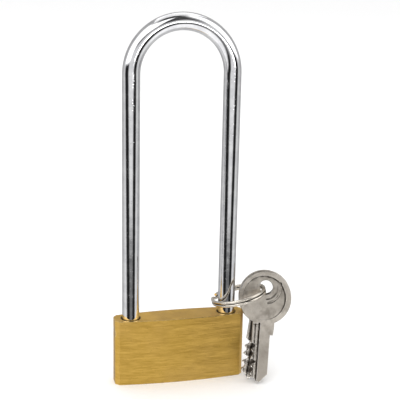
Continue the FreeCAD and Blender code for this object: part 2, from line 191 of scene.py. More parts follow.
def freeze(obj):
    """Turns the piece's modifiers into plain mesh."""
    graph = bpy.context.evaluated_depsgraph_get()
    mesh = bpy.data.meshes.new_from_object(obj.evaluated_get(graph))
    old = obj.data
    obj.modifiers.clear()
    obj.data = mesh
    bpy.data.meshes.remove(old)
    return obj


def carve(obj, tool, operation="DIFFERENCE"):
    """Cuts the tool out of the piece, or keeps what they share, and uses the tool up."""
    modifier = obj.modifiers.new("carve", "BOOLEAN")
    modifier.operation = operation
    modifier.solver = "EXACT"
    modifier.object = tool
    freeze(obj)
    bpy.data.objects.remove(tool)
    return obj


def soften(obj, width, segments, angle):
    """Breaks the sharp edges with a small round."""
    modifier = obj.modifiers.new("soften", "BEVEL")
    modifier.width = width
    modifier.segments = segments
    modifier.limit_method = "ANGLE"
    modifier.angle_limit = math.radians(angle)
    modifier.use_clamp_overlap = True
    return freeze(obj)


def weight_normals(obj):
    """Lets large faces lead the shading across the small rounds."""
    modifier = obj.modifiers.new("weight", "WEIGHTED_NORMAL")
    modifier.keep_sharp = True
    return freeze(obj)


def settle(obj, body, material, nodes, place=Matrix.Identity(4), smooth=35.0, weighted=False):
    """Brings a finished piece to metres, gives it its material and hangs it on its body."""
    obj.data.transform(Matrix.Scale(MM, 4) @ place)
    obj.data.polygons.foreach_set("use_smooth", [True] * len(obj.data.polygons))
    obj.data.set_sharp_from_angle(angle=math.radians(smooth))
    if weighted:
        weight_normals(obj)
    obj.data.materials.clear()
    obj.data.materials.append(material)
    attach(obj, body)
    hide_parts(*nodes)
    return obj


# ---------------------------------------------------------------- material helpers

def group_named(name, inputs, outputs):
    """An empty shader group with its sockets: the tree, its input node and its output node."""
    tree = bpy.data.node_groups.new(name, "ShaderNodeTree")
    for label, kind, default in inputs:
        socket = tree.interface.new_socket(label, in_out="INPUT", socket_type=kind)
        if default is not None:
            socket.default_value = default
    for label, kind in outputs:
        tree.interface.new_socket(label, in_out="OUTPUT", socket_type=kind)
    return tree, tree.nodes.new("NodeGroupInput"), tree.nodes.new("NodeGroupOutput")


def add(tree, kind, **values):
    node = tree.nodes.new(kind)
    for key, value in values.items():
        setattr(node, key, value)
    return node


def maths(tree, operation, first, second=None, clamp=False):
    """One step of arithmetic; each value is a number or another node's output."""
    node = add(tree, "ShaderNodeMath", operation=operation, use_clamp=clamp)
    for socket, value in zip(node.inputs, (first, second)):
        if value is None:
            continue
        if isinstance(value, (int, float)):
            socket.default_value = value
        else:
            tree.links.new(value, socket)
    return node.outputs[0]


def noise(tree, vector, scale, detail=4.0, roughness=0.55, distortion=0.0):
    node = add(tree, "ShaderNodeTexNoise")
    tree.links.new(vector, node.inputs["Vector"])
    node.inputs["Scale"].default_value = scale
    node.inputs["Detail"].default_value = detail
    node.inputs["Roughness"].default_value = roughness
    node.inputs["Distortion"].default_value = distortion
    return node.outputs["Fac"]


def spread(tree, value, low, high, to_low=0.0, to_high=1.0, kind="SMOOTHSTEP"):
    """Maps a range onto another one, held at both ends."""
    node = add(tree, "ShaderNodeMapRange", interpolation_type=kind)
    tree.links.new(value, node.inputs["Value"])
    for label, number in (("From Min", low), ("From Max", high), ("To Min", to_low), ("To Max", to_high)):
        node.inputs[label].default_value = number
    return node.outputs["Result"]


def stretched(tree, vector, scale):
    """The vector times a fixed or a linked scale, axis by axis."""
    node = add(tree, "ShaderNodeVectorMath", operation="MULTIPLY")
    tree.links.new(vector, node.inputs[0])
    if isinstance(scale, (tuple, list)):
        node.inputs[1].default_value = scale
    else:
        tree.links.new(scale, node.inputs[1])
    return node.outputs[0]


def make_brush_group():
    """Wavy brush lines: lanes of scratches that wander a little as they run."""
    tree, inp, out = group_named(
        "brush_lines",
        [("Vector", "NodeSocketVector", None), ("Lanes", "NodeSocketVector", (150, 150, 1500)),
         ("Wander", "NodeSocketFloat", 0.0006)],
        [("Lines", "NodeSocketFloat")])
    sway = noise(tree, inp.outputs["Vector"], 120.0, 2.0)
    lift = maths(tree, "MULTIPLY", maths(tree, "SUBTRACT", sway, 0.5), inp.outputs["Wander"])
    offset = add(tree, "ShaderNodeVectorMath", operation="ADD")
    tree.links.new(inp.outputs["Vector"], offset.inputs[0])
    tree.links.new(lift, offset.inputs[1])
    lanes = stretched(tree, offset.outputs[0], inp.outputs["Lanes"])
    fine = noise(tree, lanes, 1.0, 6.0, 0.62)
    broad = noise(tree, lanes, 0.28, 3.0, 0.5)
    mix = maths(tree, "ADD", maths(tree, "MULTIPLY", fine, 0.65), maths(tree, "MULTIPLY", broad, 0.35))
    tree.links.new(mix, out.inputs["Lines"])
    return tree


def make_handling_group():
    """Marks of use: faint clouds of tarnish, small pits and stray scratches."""
    tree, inp, out = group_named(
        "handling_marks",
        [("Vector", "NodeSocketVector", None), ("Cloud Size", "NodeSocketFloat", 60.0),
         ("Pit Size", "NodeSocketFloat", 900.0)],
        [("Cloud", "NodeSocketFloat"), ("Pits", "NodeSocketFloat"), ("Scratches", "NodeSocketFloat")])
    cloud = add(tree, "ShaderNodeTexNoise")
    tree.links.new(inp.outputs["Vector"], cloud.inputs["Vector"])
    tree.links.new(inp.outputs["Cloud Size"], cloud.inputs["Scale"])
    cloud.inputs["Detail"].default_value = 5.0
    pits = add(tree, "ShaderNodeTexVoronoi", feature="F1")
    tree.links.new(inp.outputs["Vector"], pits.inputs["Vector"])
    tree.links.new(inp.outputs["Pit Size"], pits.inputs["Scale"])
    pit_mask = spread(tree, pits.outputs["Distance"], 0.08, 0.22, 1.0, 0.0)
    lane = stretched(tree, inp.outputs["Vector"], (700.0, 700.0, 60.0))
    lines = noise(tree, lane, 1.0, 2.0, 0.5, 1.4)
    scratch = spread(tree, lines, 0.66, 0.72)
    tree.links.new(cloud.outputs["Fac"], out.inputs["Cloud"])
    tree.links.new(pit_mask, out.inputs["Pits"])
    tree.links.new(scratch, out.inputs["Scratches"])
    return tree


def make_relief_group():
    """Worn outer edges with a painted highlight, and painted shade in the hollows from occlusion, both broken
    up by a little noise.
    """
    tree, inp, out = group_named(
        "edges_and_hollows",
        [("Vector", "NodeSocketVector", None), ("Edge Width", "NodeSocketFloat", 0.0003),
         ("Hollow Width", "NodeSocketFloat", 0.0006)],
        [("Edges", "NodeSocketFloat"), ("Hollow Shade", "NodeSocketFloat")])
    grain = noise(tree, inp.outputs["Vector"], 700.0, 3.0)
    # Edges: convex edges found by inside occlusion, for wear with a painted highlight. The hollow mask:
    # occlusion in creases and recesses, which is painted shade.
    for label, inside in (("Edges", True), ("Hollow Shade", False)):
        shade = add(tree, "ShaderNodeAmbientOcclusion", inside=inside, only_local=True, samples=12)
        tree.links.new(inp.outputs["Edge Width" if inside else "Hollow Width"], shade.inputs["Distance"])
        closed = maths(tree, "SUBTRACT", 1.0, shade.outputs["AO"])
        uneven = maths(tree, "MULTIPLY", closed, spread(tree, grain, 0.3, 0.7, 0.6, 1.3))
        mask = spread(tree, uneven, 0.06, 0.46 if inside else 0.34)
        tree.links.new(mask, out.inputs[label])
    return tree


BRUSH = make_brush_group()
HANDLING = make_handling_group()
RELIEF = make_relief_group()


def start_metal(name):
    """A new metal: the material, its tree, its main shader and the piece's own coordinates."""
    material = bpy.data.materials.new(name)
    material.use_nodes = True
    tree = material.node_tree
    shader = tree.nodes["Principled BSDF"]
    shader.inputs["Metallic"].default_value = 1.0
    where = add(tree, "ShaderNodeTexCoord")
    return material, tree, shader, where.outputs["Object"]


def use_group(tree, group, vector, **values):
    """Places a shared group; an underscore in a value's name stands for a space."""
    node = add(tree, "ShaderNodeGroup", node_tree=group)
    tree.links.new(vector, node.inputs["Vector"])
    for label, value in values.items():
        node.inputs[label.replace("_", " ")].default_value = value
    return node.outputs


def blend_colour(tree, factor, first, second):
    """Goes from the first colour to the second as the factor rises."""
    node = add(tree, "ShaderNodeMix", data_type="RGBA")
    for socket, value in ((node.inputs[0], factor), (node.inputs[6], first), (node.inputs[7], second)):
        if isinstance(value, (int, float)):
            socket.default_value = value
        elif isinstance(value, tuple):
            socket.default_value = (*value, 1.0)
        else:
            tree.links.new(value, socket)
    return node.outputs[2]


def raise_bump(tree, shader, height, strength, distance):
    node = add(tree, "ShaderNodeBump")
    node.inputs["Strength"].default_value = strength
    node.inputs["Distance"].default_value = distance
    tree.links.new(height, node.inputs["Height"])
    tree.links.new(node.outputs["Normal"], shader.inputs["Normal"])


def bore_shade(tree, where):
    """Painted shade in and just round the two bores that the shackle runs in."""
    apart = add(tree, "ShaderNodeSeparateXYZ")
    tree.links.new(where, apart.inputs[0])
    aside = maths(tree, "SUBTRACT", maths(tree, "ABSOLUTE", apart.outputs["X"]), LEG_X * MM)
    reach = add(tree, "ShaderNodeCombineXYZ")
    tree.links.new(aside, reach.inputs["X"])
    tree.links.new(apart.outputs["Y"], reach.inputs["Y"])
    length = add(tree, "ShaderNodeVectorMath", operation="LENGTH")
    tree.links.new(reach.outputs["Vector"], length.inputs[0])
    uneven = maths(tree, "MULTIPLY", noise(tree, where, 600.0, 3.0), 0.0006)
    round_bore = spread(tree, maths(tree, "ADD", length.outputs["Value"], uneven), 0.0038, 0.0044, 0.9, 0.0)
    return maths(tree, "MULTIPLY", round_bore, spread(tree, apart.outputs["Z"], 0.0008, 0.0013))


def brass_brushed():
    """Satin brass body: wavy horizontal brushing, soft tarnish, edges worn bright with a painted highlight,
    painted shade in the hollows and in and round the shackle bores.
    """
    material, tree, shader, where = start_metal("brushed_brass")
    brush = use_group(tree, BRUSH, where, Lanes=(190.0, 190.0, 2000.0), Wander=0.0011)
    marks = use_group(tree, HANDLING, where, Cloud_Size=42.0, Pit_Size=800.0)
    relief = use_group(tree, RELIEF, where, Edge_Width=0.0004, Hollow_Width=0.0006)
    streak = spread(tree, brush["Lines"], 0.28, 0.72)
    base = blend_colour(tree, streak, (0.65, 0.385, 0.066), (0.86, 0.555, 0.132))
    cloud = spread(tree, marks["Cloud"], 0.38, 0.68, 0.0, 0.5)
    clouded = blend_colour(tree, cloud, base, (0.82, 0.52, 0.155))
    pitted = blend_colour(tree, maths(tree, "MULTIPLY", marks["Pits"], 0.3), clouded, (0.36, 0.19, 0.04))
    # Lighter edges: wear with a painted highlight.
    rubbed_and_lit = blend_colour(tree, maths(tree, "MULTIPLY", relief["Edges"], 0.5), pitted, (0.92, 0.70, 0.33))
    # Painted shade: occlusion in the hollows and inside the shackle bores, blended towards dark brown.
    painted_shade_mask = maths(tree, "MAXIMUM", maths(tree, "MULTIPLY", relief["Hollow Shade"], 0.6), bore_shade(tree, where))
    with_painted_shade = blend_colour(tree, painted_shade_mask, rubbed_and_lit, (0.13, 0.085, 0.035))
    tree.links.new(with_painted_shade, shader.inputs["Base Color"])
    rough = spread(tree, brush["Lines"], 0.3, 0.7, 0.33, 0.45)
    worn = maths(tree, "SUBTRACT", rough, maths(tree, "MULTIPLY", relief["Edges"], 0.12), clamp=True)
    tree.links.new(worn, shader.inputs["Roughness"])
    height = maths(tree, "SUBTRACT", brush["Lines"], maths(tree, "MULTIPLY", marks["Pits"], 0.5))
    raise_bump(tree, shader, height, 0.28, 0.00012)
    return material


def brass_turned():
    """Smaller brass fittings: plainer, slightly darker, with turning marks."""
    material, tree, shader, where = start_metal("turned_brass")
    marks = use_group(tree, HANDLING, where, Cloud_Size=260.0, Pit_Size=2400.0)
    lanes = use_group(tree, BRUSH, where, Lanes=(900.0, 900.0, 900.0), Wander=0.0002)
    streak = spread(tree, lanes["Lines"], 0.35, 0.65)
    base = blend_colour(tree, streak, (0.47, 0.29, 0.09), (0.68, 0.46, 0.17))
    colour = blend_colour(tree, maths(tree, "MULTIPLY", marks["Pits"], 0.4), base, (0.28, 0.17, 0.06))
    tree.links.new(colour, shader.inputs["Base Color"])
    tree.links.new(spread(tree, marks["Cloud"], 0.3, 0.7, 0.26, 0.44), shader.inputs["Roughness"])
    raise_bump(tree, shader, lanes["Lines"], 0.2, 0.00006)
    return material


def chrome_plate():
    """Polished chrome over drawn steel: a mirror with faint lengthwise ripples, haze and specks."""
    material, tree, shader, where = start_metal("chrome_plate")
    lanes = use_group(tree, BRUSH, where, Lanes=(520.0, 520.0, 60.0), Wander=0.0002)
    marks = use_group(tree, HANDLING, where, Cloud_Size=260.0, Pit_Size=1100.0)
    base = blend_colour(tree, spread(tree, marks["Cloud"], 0.3, 0.7), (0.66, 0.66, 0.68), (0.80, 0.80, 0.81))
    colour = blend_colour(tree, maths(tree, "MULTIPLY", marks["Pits"], 0.35), base, (0.40, 0.38, 0.37))
    tree.links.new(colour, shader.inputs["Base Color"])
    haze = spread(tree, marks["Cloud"], 0.35, 0.75, 0.05, 0.13)
    tree.links.new(maths(tree, "ADD", haze, maths(tree, "MULTIPLY", marks["Scratches"], 0.12)),
                   shader.inputs["Roughness"])
    ripple = maths(tree, "ADD", lanes["Lines"], maths(tree, "MULTIPLY", marks["Cloud"], 0.8))
    raise_bump(tree, shader, maths(tree, "SUBTRACT", ripple, maths(tree, "MULTIPLY", marks["Pits"], 0.4)),
               0.16, 0.00012)
    return material


def nickel_plate():
    """Tumbled nickel: warm grey, softly dented, darker towards the bottom, edges worn bright with a painted
    highlight, painted shade in the stamped hollows.
    """
    material, tree, shader, where = start_metal("tumbled_nickel")
    marks = use_group(tree, HANDLING, where, Cloud_Size=210.0, Pit_Size=1100.0)
    grain = use_group(tree, BRUSH, where, Lanes=(650.0, 650.0, 650.0), Wander=0.0)
    relief = use_group(tree, RELIEF, where, Edge_Width=0.0004, Hollow_Width=0.0011)
    base = blend_colour(tree, spread(tree, marks["Cloud"], 0.3, 0.7), (0.39, 0.35, 0.30), (0.60, 0.55, 0.48))
    flecked = blend_colour(tree, spread(tree, grain["Lines"], 0.4, 0.6, 0.0, 0.55), base, (0.66, 0.61, 0.55))
    pitted = blend_colour(tree, maths(tree, "MULTIPLY", marks["Pits"], 0.4), flecked, (0.22, 0.19, 0.16))
    apart = add(tree, "ShaderNodeSeparateXYZ")
    tree.links.new(where, apart.inputs[0])
    # Darker towards the bottom of the keys, by height.
    low_darkening = spread(tree, apart.outputs["Z"], 0.010, 0.024, 0.55, 0.0)
    darker_low = blend_colour(tree, low_darkening, pitted, (0.20, 0.175, 0.15))
    # Lighter edges: wear with a painted highlight.
    rubbed_and_lit = blend_colour(tree, maths(tree, "MULTIPLY", relief["Edges"], 0.55), darker_low, (0.80, 0.77, 0.72))
    # Painted shade in the stamped hollows, from occlusion.
    with_painted_shade = blend_colour(tree, relief["Hollow Shade"], rubbed_and_lit, (0.05, 0.04, 0.03))
    tree.links.new(with_painted_shade, shader.inputs["Base Color"])
    rough = spread(tree, grain["Lines"], 0.3, 0.7, 0.28, 0.42)
    tree.links.new(maths(tree, "SUBTRACT", rough, maths(tree, "MULTIPLY", relief["Edges"], 0.12)),
                   shader.inputs["Roughness"])
    height = maths(tree, "SUBTRACT", grain["Lines"], maths(tree, "MULTIPLY", marks["Pits"], 0.5))
    raise_bump(tree, shader, height, 0.4, 0.00014)
    return material


def ring_nickel():
    """The split ring's wire: brighter than the keys, drawn smooth, lightly scuffed."""
    material, tree, shader, where = start_metal("ring_nickel")
    marks = use_group(tree, HANDLING, where, Cloud_Size=300.0, Pit_Size=2200.0)
    grain = use_group(tree, BRUSH, where, Lanes=(700.0, 700.0, 2600.0), Wander=0.0001)
    relief = use_group(tree, RELIEF, where, Edge_Width=0.0003, Hollow_Width=0.0008)
    base = blend_colour(tree, spread(tree, marks["Cloud"], 0.3, 0.7), (0.58, 0.53, 0.46), (0.77, 0.72, 0.64))
    pitted = blend_colour(tree, maths(tree, "MULTIPLY", marks["Pits"], 0.4), base, (0.30, 0.28, 0.25))
    # Painted shade from occlusion where the two turns of wire lie on each other.
    colour = blend_colour(tree, maths(tree, "MULTIPLY", relief["Hollow Shade"], 0.9), pitted, (0.07, 0.055, 0.04))
    tree.links.new(colour, shader.inputs["Base Color"])
    tree.links.new(spread(tree, grain["Lines"], 0.3, 0.7, 0.14, 0.28), shader.inputs["Roughness"])
    raise_bump(tree, shader, grain["Lines"], 0.15, 0.00005)
    return material


def bare_steel(name, dark, light):
    """Turned or drawn steel of the parts inside."""
    material, tree, shader, where = start_metal(name)
    marks = use_group(tree, HANDLING, where, Cloud_Size=350.0, Pit_Size=2600.0)
    grain = use_group(tree, BRUSH, where, Lanes=(1800.0, 1800.0, 500.0), Wander=0.0002)
    base = blend_colour(tree, spread(tree, grain["Lines"], 0.3, 0.7), dark, light)
    colour = blend_colour(tree, maths(tree, "MULTIPLY", marks["Pits"], 0.5), base, (0.16, 0.15, 0.14))
    tree.links.new(colour, shader.inputs["Base Color"])
    tree.links.new(spread(tree, marks["Cloud"], 0.3, 0.7, 0.24, 0.42), shader.inputs["Roughness"])
    raise_bump(tree, shader, grain["Lines"], 0.2, 0.00005)
    return material


FINISHES = {
    "brass_body": brass_brushed(),
    "brass_fittings": brass_turned(),
    "chrome_steel": chrome_plate(),
    "nickel": nickel_plate(),
    "steel": bare_steel("turned_steel", (0.36, 0.36, 0.37), (0.55, 0.55, 0.56)),
    "spring_steel": bare_steel("spring_wire", (0.28, 0.28, 0.30), (0.46, 0.46, 0.48)),
}
RING_FINISH = ring_nickel()


# ---------------------------------------------------------------- lock body

def face_half(x):
    """Half the body's thickness at x."""
    return END_HALF + (HALF_THICK - END_HALF) * (1 - (x / HALF_WIDTH) ** 2)


def body_outline():
    """Plan of the body: bulged front and back, flat ends, corners cut at an angle."""
    inner = HALF_WIDTH - CORNER_CUT
    columns = [-inner + 2 * inner * i / 48 for i in range(49)]
    front = [(x, -face_half(x)) for x in columns]
    back = [(x, face_half(x)) for x in reversed(columns)]
    end = END_HALF - CORNER_CUT
    return front + [(HALF_WIDTH, -end), (HALF_WIDTH, end)] + back + [(-HALF_WIDTH, end), (-HALF_WIDTH, -end)]


def lock_body():
    """The brass body with the bores that show or open into one another."""
    outline = body_outline()
    body = rings_to_piece("body_shell", [[Vector((x, y, z)) for x, y in outline] for z in (0.0, BODY_TOP)])
    lip = [(LEG_BORE, BODY_TOP - LIP), (LEG_BORE + LIP + THROUGH, BODY_TOP + THROUGH)]
    end, behind = -HALF_WIDTH - THROUGH, 7.0
    tools = [
        turned("toe_bore", [(LEG_BORE, TOE_BORE_FLOOR)] + lip, (-LEG_X, 0, 0)),
        turned("heel_bore", [(LEG_BORE, HEEL_BORE_FLOOR)] + lip, (LEG_X, 0, 0)),
        turned("plug_bore", [(PLUG_BORE + THROUGH, -THROUGH), (PLUG_BORE, 0.25), (PLUG_BORE, PLUG_BORE_TOP)]),
        turned("crank_well", [(CRANK_WELL, CRANK_WELL_FLOOR), (CRANK_WELL, LATCH_HEIGHT)]),
        turned("latch_bore", [(LATCH_BORE, end), (LATCH_BORE, LATCH_BORE_END)], (0, 0, LATCH_HEIGHT), "X"),
        turned("heel_pin_bore", [(HEEL_PIN_BORE, HEEL_PIN_FRONT), (HEEL_PIN_BORE, behind)], HEEL_PIN_PLACE,
               "Y", 48),
        turned("plug_pin_bore", [(PLUG_PIN_BORE, PLUG_PIN_FRONT), (PLUG_PIN_BORE, behind)], PLUG_PIN_PLACE,
               "Y", 48),
    ]
    for row in range(len(BITTING)):
        tools.append(turned(f"chamber_{row}", [(CHAMBER_BORE, end), (CHAMBER_BORE, CHAMBER_END)],
                            (0, 0, CHAMBER_FIRST + CHAMBER_PITCH * row), "X", 48))
    for tool in tools:
        carve(body, tool)
    soften(body, 0.15, 3, 30.0)
    settle(body, "lock_body", FINISHES["brass_body"], ["lock_body"], smooth=28.0,
           weighted=True)


# ---------------------------------------------------------------- shackle

def shackle():
    """The round rod from the chamfered toe, over the arch and down to the neck and collar of the heel."""
    count = 96
    stations = []
    across, depth = Vector((1, 0, 0)), Vector((0, 1, 0))

    def straight(x, z, radius):
        stations.append(circle(Vector((x, 0, z)), across, depth, radius, count))

    for z, radius in ((TOE_END, ROD - 0.75), (TOE_END + 0.12, ROD - 0.55), (TOE_END + 0.55, ROD - 0.12),
                      (TOE_END + 0.8, ROD)):
        straight(-LEG_X, z, radius)
    rises = 40
    for i in range(1, rises + 1):
        straight(-LEG_X, TOE_END + 0.8 + (ARCH_Z - TOE_END - 0.8) * i / rises, ROD)
    bends = 96
    for i in range(1, bends):
        angle = math.pi * i / bends
        out = Vector((-math.cos(angle), 0, math.sin(angle)))
        centre = Vector((0, 0, ARCH_Z)) + out * LEG_X
        stations.append(circle(centre, -out, depth, ROD, count))
    down = [(ARCH_Z + (NECK_HIGH + 0.25 - ARCH_Z) * i / rises, ROD) for i in range(rises + 1)]
    down += [(NECK_HIGH + 0.06, ROD - 0.2), (NECK_HIGH, ROD - 0.4), (NECK_HIGH, NECK_RADIUS + 0.3),
             (NECK_HIGH - 0.1, NECK_RADIUS + 0.08), (NECK_HIGH - 0.3, NECK_RADIUS)]
    down += [(NECK_LOW + 0.3, NECK_RADIUS), (NECK_LOW + 0.1, NECK_RADIUS + 0.08),
             (NECK_LOW, NECK_RADIUS + 0.3), (NECK_LOW, ROD - 0.25), (NECK_LOW - 0.08, ROD - 0.06),
             (NECK_LOW - 0.25, ROD),
             (HEEL_END + 0.3, ROD), (HEEL_END + 0.08, ROD - 0.08), (HEEL_END, ROD - 0.3)]
    for z, radius in down:
        stations.append(circle(Vector((LEG_X, 0, z)), -across, depth, radius, count))
    rod = rings_to_piece("shackle_rod", stations)
    inner = -LEG_X + ROD
    notch = slab("latch_notch", (inner - NOTCH_DEPTH, -4.5, NOTCH_LOW), (inner + THROUGH, 4.5, NOTCH_HIGH))
    carve(rod, notch)
    settle(rod, "shackle", FINISHES["chrome_steel"], ["shackle"], smooth=30.0)


# ---------------------------------------------------------------- split ring

def turn_about(axis, degrees):
    return Matrix.Rotation(math.radians(degrees), 4, axis)


def wound_wire_tree():
    """Round wire wound on a coil; the rise is spread evenly or eased over part of the wire's length."""
    tree = bpy.data.node_groups.new("wound_wire", "GeometryNodeTree")
    for label, kind, default in (
            ("Start", "NodeSocketFloat", 0.0), ("Sweep", "NodeSocketFloat", 360.0),
            ("Coil Radius", "NodeSocketFloat", 5.0), ("Wire Radius", "NodeSocketFloat", 0.5),
            ("Rise", "NodeSocketFloat", 1.0), ("Base", "NodeSocketFloat", 0.0),
            ("Climb From", "NodeSocketFloat", 0.0), ("Climb To", "NodeSocketFloat", 1.0),
            ("Ease", "NodeSocketFloat", 0.0), ("Steps", "NodeSocketInt", 100), ("Sides", "NodeSocketInt", 24),
            ("Copies", "NodeSocketInt", 1), ("Copy Step", "NodeSocketVector", (0.0, 0.0, 0.0)),
            ("Finish", "NodeSocketMaterial", None)):
        socket = tree.interface.new_socket(label, in_out="INPUT", socket_type=kind)
        if default is not None:
            socket.default_value = default
    tree.interface.new_socket("Geometry", in_out="OUTPUT", socket_type="NodeSocketGeometry")
    inp, out = tree.nodes.new("NodeGroupInput"), tree.nodes.new("NodeGroupOutput")
    given = inp.outputs
    join = tree.links.new

    line = add(tree, "GeometryNodeCurvePrimitiveLine")
    points = add(tree, "GeometryNodeResampleCurve")
    join(line.outputs["Curve"], points.inputs["Curve"])
    join(given["Steps"], points.inputs["Count"])
    run = add(tree, "GeometryNodeSplineParameter").outputs["Factor"]
    swept = maths(tree, "MULTIPLY", run, given["Sweep"])
    turn = maths(tree, "RADIANS", maths(tree, "ADD", swept, given["Start"]))
    climbs = []
    for kind in ("LINEAR", "SMOOTHSTEP"):
        climb = add(tree, "ShaderNodeMapRange", interpolation_type=kind)
        join(run, climb.inputs["Value"])
        join(given["Climb From"], climb.inputs["From Min"])
        join(given["Climb To"], climb.inputs["From Max"])
        climbs.append(climb.outputs["Result"])
    eased = maths(tree, "MULTIPLY", maths(tree, "SUBTRACT", climbs[1], climbs[0]), given["Ease"])
    height = maths(tree, "MULTIPLY", maths(tree, "ADD", climbs[0], eased), given["Rise"])
    spot = add(tree, "ShaderNodeCombineXYZ")
    join(maths(tree, "MULTIPLY", maths(tree, "COSINE", turn), given["Coil Radius"]), spot.inputs["X"])
    join(maths(tree, "MULTIPLY", maths(tree, "SINE", turn), given["Coil Radius"]), spot.inputs["Y"])
    join(maths(tree, "ADD", height, given["Base"]), spot.inputs["Z"])
    wound = add(tree, "GeometryNodeSetPosition")
    join(points.outputs["Curve"], wound.inputs["Geometry"])
    join(spot.outputs["Vector"], wound.inputs["Position"])

    section = add(tree, "GeometryNodeCurvePrimitiveCircle")
    join(given["Wire Radius"], section.inputs["Radius"])
    join(given["Sides"], section.inputs["Resolution"])
    wire = add(tree, "GeometryNodeCurveToMesh")
    join(wound.outputs["Geometry"], wire.inputs["Curve"])
    join(section.outputs["Curve"], wire.inputs["Profile Curve"])
    wire.inputs["Fill Caps"].default_value = True

    row = add(tree, "GeometryNodeMeshLine")
    join(given["Copies"], row.inputs["Count"])
    join(given["Copy Step"], row.inputs["Offset"])
    copies = add(tree, "GeometryNodeInstanceOnPoints")
    join(row.outputs["Mesh"], copies.inputs["Points"])
    join(wire.outputs["Mesh"], copies.inputs["Instance"])
    real = add(tree, "GeometryNodeRealizeInstances")
    join(copies.outputs["Instances"], real.inputs["Geometry"])
    finish = add(tree, "GeometryNodeSetMaterial")
    join(real.outputs["Geometry"], finish.inputs["Geometry"])
    join(given["Finish"], finish.inputs["Material"])
    join(finish.outputs["Geometry"], out.inputs["Geometry"])
    return tree


def wind(name, tree, values):
    """One piece wound by the wire tree, as plain mesh."""
    obj = bpy.data.objects.new(name, bpy.data.meshes.new(name))
    bpy.context.scene.collection.objects.link(obj)
    modifier = obj.modifiers.new("winding", "NODES")
    modifier.node_group = tree
    for item in tree.interface.items_tree:
        if item.in_out == "INPUT" and item.name in values:
            modifier[item.identifier] = values[item.name]
    freeze(obj)
    bm = bmesh.new()
    bm.from_mesh(obj.data)
    bmesh.ops.remove_doubles(bm, verts=bm.verts, dist=0.0005)
    bmesh.ops.recalc_face_normals(bm, faces=bm.faces)
    bm.to_mesh(obj.data)
    bm.free()
    return obj


def split_ring(tree):
    """Two turns of wire lying on each other, changing level once."""
    sweep = 720.0 - 2 * RING_JOG
    ring = wind("split_ring", tree, {
        "Start": RING_JOG, "Sweep": sweep, "Coil Radius": RING_RADIUS, "Wire Radius": RING_WIRE,
        "Rise": RING_PITCH, "Base": -RING_PITCH / 2, "Climb From": (360.0 - 2 * RING_JOG) / sweep,
        "Climb To": 360.0 / sweep, "Ease": 1.0, "Steps": 480, "Sides": 40, "Finish": RING_FINISH})
    place = (Matrix.Translation(RING_CENTRE) @ turn_about("Y", -RING_TILT) @ turn_about("X", -RING_ROLL)
             @ turn_about("Z", RING_START))
    settle(ring, "key_ring", RING_FINISH, ["key_ring"], place, smooth=40.0)


def driver_springs(tree):
    """The four small springs behind the driver pins, lying across the body one above another."""
    springs = wind("driver_springs", tree, {
        "Sweep": 360.0 * SPRING_TURNS, "Coil Radius": SPRING_COIL, "Wire Radius": SPRING_WIRE,
        "Rise": SPRING_LENGTH, "Steps": 20 * SPRING_TURNS, "Sides": 12, "Copies": len(BITTING),
        "Copy Step": (CHAMBER_PITCH, 0.0, 0.0), "Finish": FINISHES["spring_steel"]})
    place = Matrix.Translation((-SPRING_START, 0, CHAMBER_FIRST)) @ turn_about("Y", -90.0)
    settle(springs, "lock_body", FINISHES["spring_steel"],
           [f"driver_spring_{number + 1}" for number in range(len(BITTING))], place, smooth=40.0)


# ---------------------------------------------------------------- keys

def key_outline():
    """Outline from the right of the neck, over the round bow, down the bitting side and round the tip."""
    begin = -math.acos(SHOULDER_HALF / BOW_RADIUS)
    sweep = math.pi - 2 * begin
    points = []
    steps = 160
    for i in range(steps + 1):
        angle = begin + sweep * i / steps
        points.append((BOW_RADIUS * math.cos(angle), -BOW_DROP + BOW_RADIUS * math.sin(angle)))
    points += [(-SHOULDER_HALF, -SHOULDER_DROP + 1.6), (-BLADE_LEFT, -SHOULDER_DROP)]
    for row, rise in enumerate(BITTING):
        centre = FIRST_CUT + row * CUT_PITCH
        for offset, depth in ((-1.35, 0.0), (-0.3, rise), (0.3, rise), (1.35, 0.0)):
            points.append((-BLADE_LEFT + depth, -(centre + offset)))
    points += [(-BLADE_LEFT, -TIP_DROP + 2.9), (-1.2, -TIP_DROP), (-0.2, -TIP_DROP),
               (BLADE_RIGHT, -TIP_DROP + 2.9), (BLADE_RIGHT, -SHOULDER_DROP),
               (SHOULDER_HALF - 0.3, -SHOULDER_DROP), (SHOULDER_HALF, -SHOULDER_DROP + 2.6)]
    return points


def bow_hollow(side):
    """The stamped hollow of the bow on one face: its floor slants, so its step fades out towards the neck."""
    tool = turned("hollow", [(HOLLOW_RADIUS, 0.0), (HOLLOW_RADIUS, CLEAR)], axis="Y", count=160)
    if side < 0:
        tool.data.transform(Matrix.Rotation(math.pi, 4, "Z"))
    slant = Matrix.Rotation(side * HOLLOW_SLANT, 4, Vector((0.77, 0, -0.64)))
    sink = side * (PLATE_HALF - HOLLOW_DEPTH)
    tool.data.transform(Matrix.Translation((-0.5, sink, -BOW_DROP)) @ slant)
    return tool


def crest_arc(side, outer, inner, window):
    """One engraved arc of the plain crest beside the eye."""
    low, high = sorted((side * (PLATE_HALF - CREST_DEPTH), side * CLEAR))
    arc = turned("crest", [(outer, low), (outer, high)], axis="Y", count=128)
    carve(arc, turned("crest_inside", [(inner, low - 1), (inner, high + 1)], axis="Y", count=128))
    left, bottom, right, top = window
    carve(arc, slab("crest_window", (left, -4, bottom), (right, 4, top)), "INTERSECT")
    return arc


